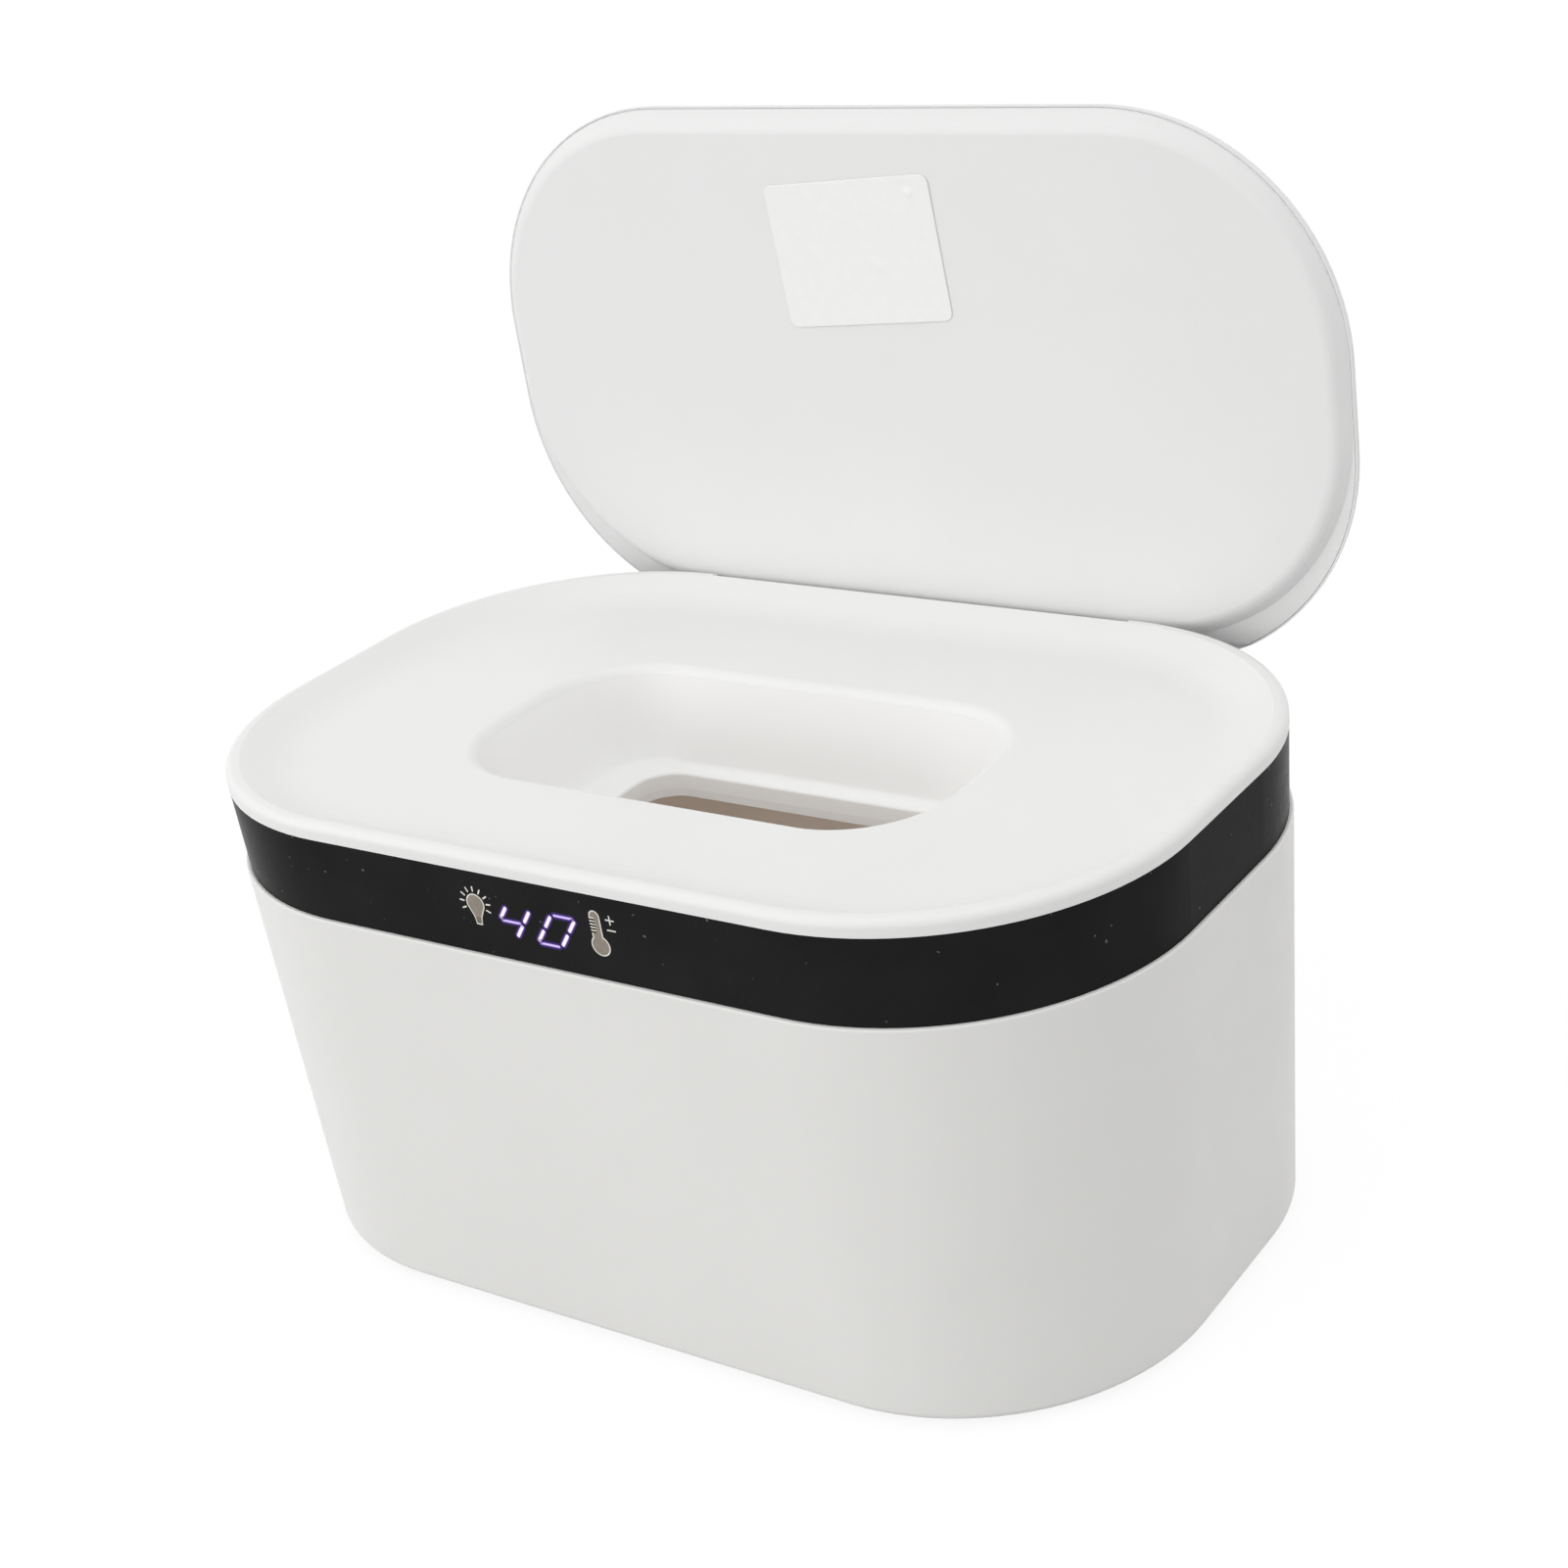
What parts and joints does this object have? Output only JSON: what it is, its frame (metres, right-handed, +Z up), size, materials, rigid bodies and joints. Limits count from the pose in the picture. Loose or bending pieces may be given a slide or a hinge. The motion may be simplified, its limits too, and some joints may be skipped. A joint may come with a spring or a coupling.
{
  "type": "baby wipe warmer",
  "caption": "Oval countertop wipe warmer with a hinged lid standing open, a funnel-shaped wipe opening, a dark display band and a lift-off top over the tank.",
  "frame": {"origin": "on the surface the feet stand on, under the middle of the body", "axes": "+X to the right seen from the front, +Y towards the hinge at the back, +Z up"},
  "size_m": [0.2304, 0.1579, 0.2306],
  "materials": {
    "white_shell": "satin moulded ABS",
    "dark_band": "smoked gloss panel",
    "white_plate": "fine moulded texture",
    "foot_rubber": "matte",
    "screw_steel": "zinc plated",
    "tank_plastic": "satin",
    "heater_film": "amber film",
    "foam": "closed-cell foam",
    "heater_plate": "rolled",
    "sensor": "moulded",
    "board": "solder mask",
    "display": "cast epoxy",
    "touch_rubber": "conductive rubber",
    "led": "clear epoxy",
    "inlet_plastic": "moulded nylon",
    "nut_metal": "nickel plated",
    "white_deck": "satin moulded ABS",
    "frame_plastic": "satin",
    "bracket_plastic": "satin",
    "pin_steel": "ground",
    "white_lid": "satin moulded ABS",
    "white_panel": "satin moulded ABS"
  },
  "bodies": {
    "base": {"base_shell": "white_shell", "display_band": "dark_band", "base_plate": "white_plate", "rubber_feet": "foot_rubber", "base_screws": "screw_steel", "inner_tank": "tank_plastic", "wall_heater": "heater_film", "heater_foam": "foam", "floor_heater": "heater_plate", "temperature_sensor": "sensor", "thermal_cutout": "sensor", "control_board": "board", "board_screws": "screw_steel", "display_module": "display", "touch_pads": "touch_rubber", "icon_leds": "led", "power_inlet": "inlet_plastic", "inlet_nut": "nut_metal"},
    "deck": {"top_deck": "white_deck", "slot_frame": "frame_plastic", "hinge_bracket": "bracket_plastic", "bracket_screws": "screw_steel", "hinge_pin": "pin_steel"},
    "lid": {"lid_cover": "white_lid", "lid_panel": "white_panel"}
  },
  "joints": [
    {"name": "deck_lift", "type": "slide", "parent": "base", "child": "deck", "axis": [0, 0, 1], "range_m": [0, 0.04]},
    {"name": "lid_hinge", "type": "hinge", "parent": "deck", "child": "lid", "pos_m": [0, 0.06607, 0.10419], "axis": [1, 0, 0], "range_deg": [0, 88.3]}
  ]
}
